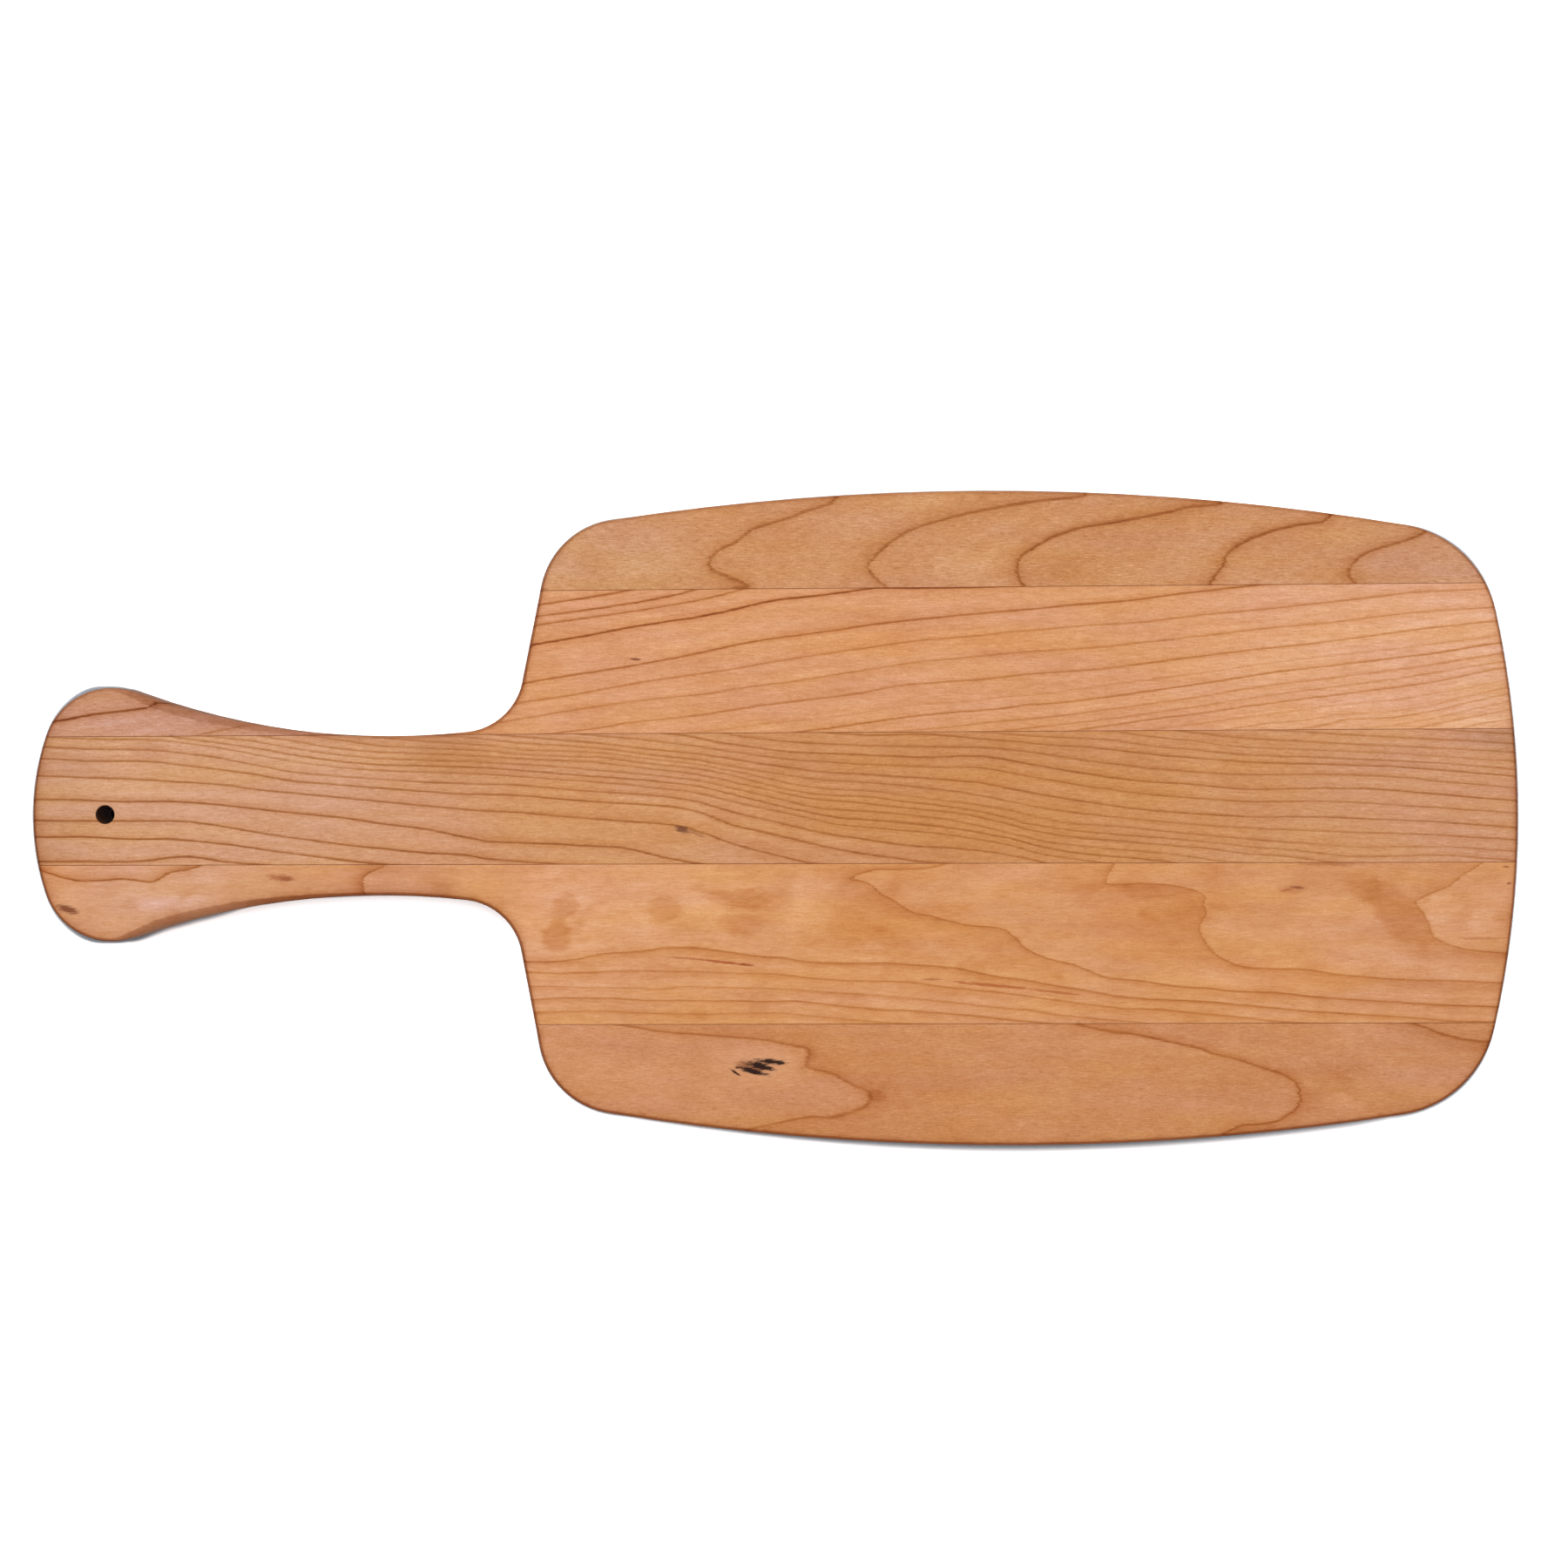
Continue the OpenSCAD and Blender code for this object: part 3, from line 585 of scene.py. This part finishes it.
centre_wood = cherry("cherry centre", (207, 149, 104), 4.0, (0.8, 0.7), curl=0.7, blush=0.12,
                     grain=1.1, ink=(1.0, 1.58, 2.6), washes=[
    (1716, 848, 90, 40, (0.87, 0.88, 0.92)),
    (250, 910, 560, 300, (1.055, 1.17, 1.48)),
    (50, 920, 150, 260, (0.94, 0.94, 0.95)),
    (1120, 905, 640, 260, (0.95, 0.87, 0.70)),
    (1660, 905, 300, 240, (1.01, 1.03, 1.22)),
    (520, 872, 110, 60, (0.90, 0.84, 0.76)),
    (170, 866, 60, 34, (0.92, 0.86, 0.80)),
], marks=[
    (795, 938, 40, 18, 0, 0.25, (222, 165, 120)),
    (783, 952, 20, 9, 12, 0.85, (110, 58, 38)),
    (800, 957, 26, 5, 20, 0.45, (150, 90, 60)),
])
stave("centre_stave", centre_rings, 5.0, (0.1, 1.1), centre_wood)


# The lower stave, also the whole length: cherry with wide arches that open to the right over straight
# rings along its lower side, with patches of curl and short streaks of dark gum. Made as those above;
# the traces without a strength only guide the ring numbers between the rings that are seen.
lower_rings = [
    (1, 0.21, [(614, 1162), (630, 1161), (669, 1160), (709, 1160.5), (749, 1162.5), (808, 1163.7),
               (848, 1162.5), (900, 1162), (920, 1164.5), (959, 1168), (999, 1172), (1039, 1174.5),
               (1200, 1181)]),
    (2, 0.32, [(612, 1147), (640, 1145), (699, 1145), (739, 1147.4), (818, 1148.2), (889, 1149.2),
               (910, 1148), (949, 1152.3), (1009, 1158.5), (1049, 1160), (1108, 1164.5),
               (1148, 1169), (1180, 1172.4), (1300, 1181)]),
    (3, 0.19, [(609, 1131.5), (679, 1133), (739, 1134), (753, 1135.2), (779, 1132), (838, 1133),
               (896, 1134.4), (949, 1138.4), (977, 1139.8), (1029, 1144.4), (1089, 1149.3),
               (1148, 1156.3), (1180, 1158.5), (1214, 1164.8), (1279, 1170.8), (1340, 1176)]),
    (4, 0.25, [(607, 1115.2), (640, 1116.6), (679, 1115.6), (719, 1113.4), (779, 1114.4),
               (838, 1116), (890, 1117.2), (930, 1122), (969, 1125.3), (1039, 1126.3),
               (1085, 1132.3), (1148, 1138.6), (1200, 1145.6), (1240, 1151.3), (1289, 1157.3),
               (1329, 1157.5), (1379, 1163), (1418, 1166.4), (1454, 1171), (1500, 1173.8)]),
    (5, 0.33, [(445, 993.5), (438, 997), (430, 1000), (420, 1003), (416, 1010), (418, 1025),
               (440, 1060), (520, 1094), (603, 1103.6), (620, 1104.4), (640, 1103.6), (660, 1101.3),
               (683, 1096.3), (699, 1094), (739, 1091.7), (759, 1087.5), (798, 1087.3),
               (838, 1092.7), (874, 1098), (900, 1099.3), (930, 1104.2), (979, 1105.6),
               (1009, 1104.6), (1059, 1107.8), (1098, 1110.6), (1118, 1115.2), (1148, 1121.5),
               (1180, 1124.7), (1200, 1129.5), (1240, 1135.4), (1279, 1142.6), (1319, 1146.8),
               (1379, 1148.6), (1418, 1152.5), (1470, 1157.1), (1510, 1161), (1569, 1164),
               (1629, 1168.2), (1668, 1171.8), (1716, 1172)]),
    (6, 0.35, [(1100, 988), (1069, 996.9), (1029, 998.5), (1009, 996.9), (999, 999.3),
               (989, 1001.9), (979, 1004.9), (973.5, 1008), (981, 1009.8), (991, 1010.2),
               (999, 1012.8), (1005, 1020.8), (1011, 1025.7), (1029, 1034.7), (1035, 1039.6),
               (1049, 1047.8), (1069, 1050.6), (1079, 1054.2), (1098, 1058.5), (1108, 1061.1),
               (1144, 1064.1), (1154, 1066.5), (1166, 1076.4), (1178, 1089.9), (1192, 1095.9),
               (1200, 1099.5), (1230, 1106), (1249, 1113.2), (1267, 1121.7), (1299, 1124.7),
               (1319, 1126.7), (1351, 1132.1), (1389, 1134), (1408, 1136.8), (1470, 1139.4),
               (1500, 1143), (1549, 1147.2), (1599, 1149.5), (1649, 1153.1), (1719, 1155.3)]),
    (7, 0.30, [(1279, 985), (1277, 994), (1271, 1003), (1265, 1014), (1279, 1014.8), (1309, 1013.4),
               (1339, 1014.8), (1359, 1018.4), (1375, 1022.8), (1386, 1028.7), (1380, 1037),
               (1385.6, 1046.6), (1383, 1053), (1376, 1063), (1379, 1075.4), (1388, 1087.3),
               (1402, 1100.3), (1418, 1106.6), (1426, 1109.8), (1460, 1111.6), (1500, 1112.2),
               (1535, 1118.5), (1569, 1121.3), (1609, 1123.9), (1668, 1125.3), (1723, 1127.5)]),
    (8, 0.29, [(1704, 985), (1698, 992.9), (1690, 997.9), (1678, 1004.9), (1661, 1018.8),
               (1639, 1026.7), (1622, 1035.7), (1633, 1046.6), (1640, 1061), (1643, 1074.4),
               (1659, 1082.8), (1678, 1088.7), (1704, 1091.7), (1729, 1094)]),
    (4, 0.25, [(20, 1000), (50, 999.3), (70, 1006.5), (90, 1011.6), (119, 1011), (139, 1008.4),
               (149, 1009.2), (169, 1012.8), (179, 1012.4), (187, 1005.9), (199, 1000.5),
               (217, 999.3), (229, 994.5), (239, 991)]),
    (3.6, None, [(70, 998), (110, 1002), (175, 1003)]),
    (4.5, None, [(90, 1050), (250, 1024), (385, 1012)]),
    (5.45, None, [(470, 1012), (560, 1020), (700, 1045), (930, 1050)]),
    (5.6, None, [(620, 997), (800, 1000), (940, 1003)]),
    (5.8, None, [(975, 992), (1045, 990)]),
    (6.5, None, [(1080, 1022), (1200, 1030), (1245, 1002)]),
    (7.5, None, [(1430, 1030), (1540, 1060), (1640, 1105)]),
    (7.6, None, [(1440, 994), (1540, 998), (1630, 994)]),
    (8.4, None, [(1690, 1040), (1732, 1040)]),
]
lower_wood = cherry("cherry lower", (216, 153, 103), 5.0, (1.7, 0.65), 0.24, curl=1.4, blush=0.85,
                    grain=0.85, handle=2.2, washes=[
    (210, 1035, 340, 130, (1.01, 1.17, 1.72)),
    (470, 1015, 160, 90, (0.93, 0.93, 1.03)),
    (690, 1080, 260, 220, (1.02, 1.05, 1.12)),
    (620, 1070, 140, 200, (1.04, 1.07, 1.20)),
    (370, 1010, 150, 60, (0.98, 1.00, 1.10)),
    (1640, 1080, 300, 240, (0.99, 1.00, 1.11)),
    (1005, 1056, 110, 80, (0.97, 0.92, 0.86)),
    (1310, 1050, 150, 100, (1.01, 0.98, 0.97)),
    (1060, 1065, 200, 60, (0.99, 0.96, 0.84)),
    (1460, 1120, 260, 50, (1.05, 1.06, 1.04)),
], patches=[
    (740, 1020, 300, 80, 0, -0.061),
    (715, 1068, 130, 40, -10, -0.054),
    (930, 1035, 60, 70, 0, -0.054),
    (650, 1040, 34, 44, 20, 0.115),
    (640, 1075, 38, 38, 0, 0.155),
    (762, 1043, 48, 34, 0, 0.115),
    (853, 1032, 86, 28, 4, 0.142),
    (852, 1062, 56, 30, 0, 0.088),
    (960, 1082, 70, 20, 0, 0.041),
    (1347, 1046, 84, 70, 0, 0.068),
    (1320, 1023, 110, 18, 3, 0.061),
    (1566, 1018, 60, 36, 25, 0.100),
    (1604, 1048, 110, 48, 45, 0.105),
    (1655, 1042, 50, 36, -20, -0.081),
    (1702, 1056, 40, 30, -30, -0.074),
    (1510, 1040, 60, 40, 0, -0.041),
    (200, 1036, 110, 14, -8, -0.047),
], marks=[
    (323, 1007.5, 34, 9, 5, 0.55, (150, 66, 16)),
    (329, 1009, 18, 6, 8, 0.45, (130, 54, 16)),
    (79, 1044, 30, 10, 16, 0.85, (120, 54, 20)),
    (790, 1100, 50, 3, 4, 0.45, (150, 60, 14)),
    (832, 1104.5, 70, 3.4, 6, 0.80, (158, 60, 4)),
    (858, 1107.5, 18, 4, 2, 0.6, (150, 52, 4)),
    (1070, 1124, 24, 3, 0, 0.5, (150, 66, 16)),
    (1140, 1131, 110, 4.4, 5, 0.7, (168, 74, 6)),
    (1215, 1139, 56, 3.5, 6, 0.6, (166, 74, 6)),
    (1484, 1020.5, 34, 12, -4, 0.3, (160, 76, 24)),
    (1488, 1018.5, 16, 3.6, 2, 0.62, (110, 40, 4)),
    (1476, 1022, 20, 3.2, -12, 0.5, (160, 76, 20)),
    (1535, 991.5, 84, 6, 0, 0.45, (150, 66, 16)),
    (1728, 995, 9, 3, 10, 0.6, (130, 58, 20)),
    (1731, 1014, 7, 4, 0, 0.6, (130, 58, 20)),
    (1700, 1077, 62, 3.5, 0, 0.45, (166, 84, 30)),
])
stave("lower_stave", lower_rings, 1.8, (-1.6, -0.6), lower_wood)


# The bottom edge stave: flat-sawn cherry with two arches that point to the right, and a pocket of black
# bark in a pale halo. Made as the staves above.
bottom_rings = [
    (0.25, None, [(1330, 1176), (1500, 1205), (1560, 1250), (1570, 1290)]),
    (1, 0.29, [(1226, 1173), (1240, 1176.9), (1260, 1181.5), (1279, 1185.7), (1293, 1185.7),
               (1319, 1190.4), (1349, 1197.4), (1379, 1204), (1395, 1210.7), (1415, 1214),
               (1442, 1223.6), (1466, 1231.2), (1478, 1235.5), (1486, 1242), (1490, 1250),
               (1492.5, 1262), (1488, 1272.3), (1475, 1280), (1467, 1286.2), (1446, 1289.6),
               (1428, 1290.2), (1418, 1293.2), (1400, 1302)]),
    (1, 0.44, [(1600, 1168), (1619, 1173.5), (1635, 1178), (1648, 1184.5), (1678, 1192.4),
               (1698, 1194.8), (1720, 1195.5)]),
    (2, 0.40, [(680, 1170), (699, 1175), (719, 1177.3), (749, 1183), (779, 1186.5), (799, 1187.3),
               (828, 1190), (858, 1191.6), (882, 1194.4), (906, 1199.8), (928, 1202.4), (930, 1209),
               (926, 1218), (921, 1224), (930, 1227), (951, 1230.6), (960, 1234.6), (970, 1240),
               (976, 1245), (985, 1248), (996, 1251.5), (1000, 1256), (998, 1264), (994, 1270),
               (979, 1275), (962, 1280), (952, 1282.8), (932, 1280.7), (910, 1283.6), (888, 1289.2),
               (866, 1293.8), (840, 1302)]),
    (2.4, None, [(700, 1210), (860, 1250)]),
]
bottom_wood = cherry("cherry bottom edge", (207, 143, 96), 6.0, (1.4, 1.2), 0.14, curl=1.0,
                     blush=0.3, grain=1.1, bold=1.3, patches=[
    (1528, 1238, 60, 36, 35, 0.06),
    (1505, 1262, 40, 30, 0, 0.04),
    (1546, 1262, 26, 14, 35, -0.04),
    (1006, 1257, 26, 16, 10, 0.14),
    (1060, 1250, 140, 40, -6, 0.035),
    (930, 1210, 16, 20, 0, 0.06),
], washes=[
    (740, 1220, 420, 150, (1.02, 1.05, 1.22)),
    (1440, 1240, 130, 130, (0.97, 0.95, 0.92)),
    (960, 1240, 100, 130, (1.02, 1.03, 1.08)),
    (1640, 1210, 240, 130, (0.99, 1.02, 1.12)),
], marks=[
    (868, 1222, 130, 50, 0, 0.30, (226, 168, 130)),
    (862, 1224, 36, 14, 14, 0.7, (120, 56, 26)),
    (885, 1218.5, 40, 6.6, 5, 1.0, (44, 18, 10)),
    (871, 1222.5, 29, 9.6, 8, 1.0, (44, 18, 10)),
    (877, 1225.5, 28, 5.6, 8, 1.0, (44, 18, 10)),
    (865, 1229.5, 38, 6.6, 14, 1.0, (44, 18, 10)),
    (844, 1230.5, 15, 3.2, 33, 1.0, (64, 28, 14)),
    (847, 1225, 8, 3.2, 0, 0.9, (84, 42, 22)),
])
stave("bottom_edge_stave", bottom_rings, 1.8, (-2.5, -0.5), bottom_wood)


# The films of glue in the joints: cured yellow wood glue, darkened by the oil, seen as thin dark lines.
# The CAD solids stay and get a plain brown, lighter on the side walls, where a film cut at a shallow
# angle would look like a dark bar.
glue = Nodes("oiled glue line")
glue_tone = glue.colour("MIX", glue.ramp(glue.math("ABSOLUTE", glue.facing()[2]), 0.2, 0.6),
                        rgba(138, 88, 58), rgba(116, 60, 32))
glue_material = glue.finish(glue.put("ShaderNodeBsdfPrincipled", (
    ("Base Color", glue_tone), ("Roughness", 0.5), ("IOR", OIL_IOR), ("Specular IOR Level", 0.1))))
for film in ("top_glue_line", "upper_glue_line", "lobe_glue_line", "lower_glue_line",
             "bottom_glue_line"):
    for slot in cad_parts[film].material_slots:
        slot.material = glue_material


# The setting, which isn't part of the board: a white floor under it, white light all round and a large
# soft lamp beyond its top edge. The floor is brightened for the camera only, so that it is pure white
# but for the board's soft shadow, a painted contact shade along the board's foot and a painted
# shadow under the hanging hole.
FLOOR_SIZE, FLOOR_DROP = 8, 0.00005
LOBE_X, BLADE_LEFT, BLADE_RIGHT, BLADE_HALF = -0.2264, -0.05, 0.215, 0.075
FOOT_X, FOOT_Y, BLADE_X = (-0.15, -0.13), (0.040, 0.050), (-0.07, -0.05)
FLARE_RISE, FLARE_FALL, FLARE_LEAN = (LOBE_X, -0.205), (-0.19, -0.15), 0.33
LOBE_ZONE, LOBE_TURN, BLADE_TURN = (0.004, 0.016), (1.5, 2.5), 1.0
HIDDEN_SHARE, HIDDEN_LEAST = 0.0225, 0.0001
LOWER_RISE, LOWER_FALL, LOWER_Y = (-0.09, 0.10), (0.20, 0.235), (-0.10, -0.06)
FLARE_PIXEL, FLARE_ZONE = (205, 1046), (0.006, 0.030)
LOWER_SPREAD, FLARE_SPREAD = 0.0020, (0.0026, 0.0006)
SHADE_SAMPLES, OPEN_SHARE = 16, 0.42
HOLE_FADE = 0.0040, 0.0050
PAPER_WHITE, CONTACT_SHADE_GREY = (2.3, 2.35, 2.39, 1), (0.36, 0.39, 0.44, 1)
HOLE_SHADOW_DARK, PAPER_BOUNCE = (0.01, 0.008, 0.006, 1), (0.80, 0.80, 0.80, 1)
SKY_LIGHT = 0.43
LAMP_POWER, LAMP_SIZE = 17, (1.8, 1.2)
LAMP_PLACE, LAMP_TILT = (-0.1, 0.45, 1.40), math.radians(-18)

bpy.ops.mesh.primitive_plane_add(size=FLOOR_SIZE, location=(0, 0, -FLOOR_DROP))
floor = bpy.context.object
floor.name = "white_floor"
paper = Nodes("white paper")
sight = paper.put("ShaderNodeLightPath").outputs["Is Camera Ray"]
place = paper.put("ShaderNodeTexCoord").outputs["Object"]
place_x, place_y, _ = paper.parts(place)
off_line = paper.math("ABSOLUTE", place_y)

# the way out from the board's outline: from a bar in the blade, and from the middle of the lobe
by_foot = paper.math("MULTIPLY", paper.ramp(off_line, *FOOT_Y), paper.ramp(place_x, *FOOT_X))
by_blade = paper.math("MAXIMUM", paper.ramp(place_x, *BLADE_X), by_foot)
half = paper.math("MULTIPLY", by_blade, BLADE_HALF)
left = paper.math("MULTIPLY_ADD", by_blade, BLADE_LEFT - LOBE_X, LOBE_X)
near_x = paper.math("MINIMUM", paper.math("MAXIMUM", place_x, left), BLADE_RIGHT)
near_y = paper.math("MINIMUM", paper.math("MAXIMUM", place_y, paper.math("MULTIPLY", half, -1.0)), half)
flare = paper.math("MULTIPLY", paper.ramp(place_x, *FLARE_RISE),
                   paper.ramp(place_x, *FLARE_FALL, FLARE_LEAN, 0.0))
from_lobe = paper.math("ABSOLUTE", paper.math("SUBTRACT", place_x, LOBE_X))
turn = paper.math("MULTIPLY_ADD", by_blade, BLADE_TURN - LOBE_TURN[1],
                  paper.ramp(from_lobe, *LOBE_ZONE, *LOBE_TURN))
out_x = paper.math("MULTIPLY_ADD", paper.math("SUBTRACT", place_x, near_x), turn,
                   paper.math("MULTIPLY", flare, off_line))
out_y = paper.math("SUBTRACT", place_y, near_y)
out_from = paper.vector("NORMALIZE", paper.put(
    "ShaderNodeCombineXYZ", ((0, out_x), (1, out_y), (2, 0.0))).outputs[0])

# the strip of floor that the board hides from the camera, and the painted contact shade that spreads
# past it
away = paper.vector("SUBTRACT", place, on_board(PHOTO_SIZE / 2, PHOTO_SIZE / 2) + (0,))
hidden = paper.math("MULTIPLY", paper.vector("DOT_PRODUCT", away, out_from), HIDDEN_SHARE)
hidden = paper.math("MAXIMUM", hidden, HIDDEN_LEAST)
lower_middle = paper.math("MULTIPLY", paper.ramp(place_x, *LOWER_RISE),
                          paper.ramp(place_x, *LOWER_FALL, 1.0, 0.0))
lower_side = paper.math("MULTIPLY", paper.ramp(place_y, *LOWER_Y, 1.0, 0.0), lower_middle)
by_flare = paper.vector("DISTANCE", place, on_board(*FLARE_PIXEL) + (0,))
spread = paper.math("MULTIPLY_ADD", lower_side, LOWER_SPREAD,
                    paper.ramp(by_flare, *FLARE_ZONE, *FLARE_SPREAD))
depth = paper.math("ADD", hidden, spread)
close = paper.put("ShaderNodeAmbientOcclusion", (
    ("Distance", depth), ("Normal", paper.vector("SCALE", out_from, -1.0))),
    samples=SHADE_SAMPLES).outputs["AO"]
share = paper.math("DIVIDE", hidden, depth)
share = paper.math("MULTIPLY_ADD", paper.math("MULTIPLY", share, share), -OPEN_SHARE, OPEN_SHARE)
contact = paper.math("DIVIDE", paper.math("SUBTRACT", 1.0, close), share, clamp=True)
# painted contact shade: the floor's colour is greyed where the ambient occlusion finds the board close
seen_tone = paper.colour("MIX", contact, PAPER_WHITE, CONTACT_SHADE_GREY)
# painted shadow: the floor seen through the hanging hole is made nearly black
hole_shadow = paper.ramp(paper.vector("DISTANCE", place, (HOLE_X, 0, 0)), *HOLE_FADE, 1.0, 0.0)
seen_tone = paper.colour("MIX", hole_shadow, seen_tone, HOLE_SHADOW_DARK)
paper_tone = paper.colour("MIX", sight, PAPER_BOUNCE, seen_tone)
floor.data.materials.append(paper.finish(paper.put("ShaderNodeBsdfDiffuse", (("Color", paper_tone),))))

world = bpy.data.worlds.new("white studio")
bpy.context.scene.world = world
world.use_nodes = True
world.node_tree.nodes["Background"].inputs[0].default_value = (1.0, 1.0, 1.0, 1)
world.node_tree.nodes["Background"].inputs[1].default_value = SKY_LIGHT

lamp_data = bpy.data.lights.new("soft lamp", "AREA")
lamp_data.shape = "RECTANGLE"
lamp_data.size, lamp_data.size_y = LAMP_SIZE
lamp_data.energy = LAMP_POWER
lamp = bpy.data.objects.new("soft lamp", lamp_data)
lamp.location = LAMP_PLACE
lamp.rotation_euler = (LAMP_TILT, 0, 0)
bpy.context.scene.collection.objects.link(lamp)


# The camera of the photograph: straight above the board, a little off its middle, rolled by the same
# small angle that the board is turned in the photo.
SENSOR_WIDTH = 36
CAMERA_HEIGHT = 0.800
SCALE_PLANE = 0.018

camera_data = bpy.data.cameras.new("camera")
camera_data.sensor_width = SENSOR_WIDTH
camera_data.lens = SENSOR_WIDTH * CAMERA_HEIGHT / (PHOTO_SIZE * PHOTO_STEP)
camera = bpy.data.objects.new("camera", camera_data)
camera.location = on_board(PHOTO_SIZE / 2, PHOTO_SIZE / 2) + (SCALE_PLANE + CAMERA_HEIGHT,)
camera.rotation_euler = (0, 0, BOARD_TURN)
bpy.context.scene.collection.objects.link(camera)
bpy.context.scene.camera = camera
bpy.context.scene.view_settings.view_transform = "Standard"
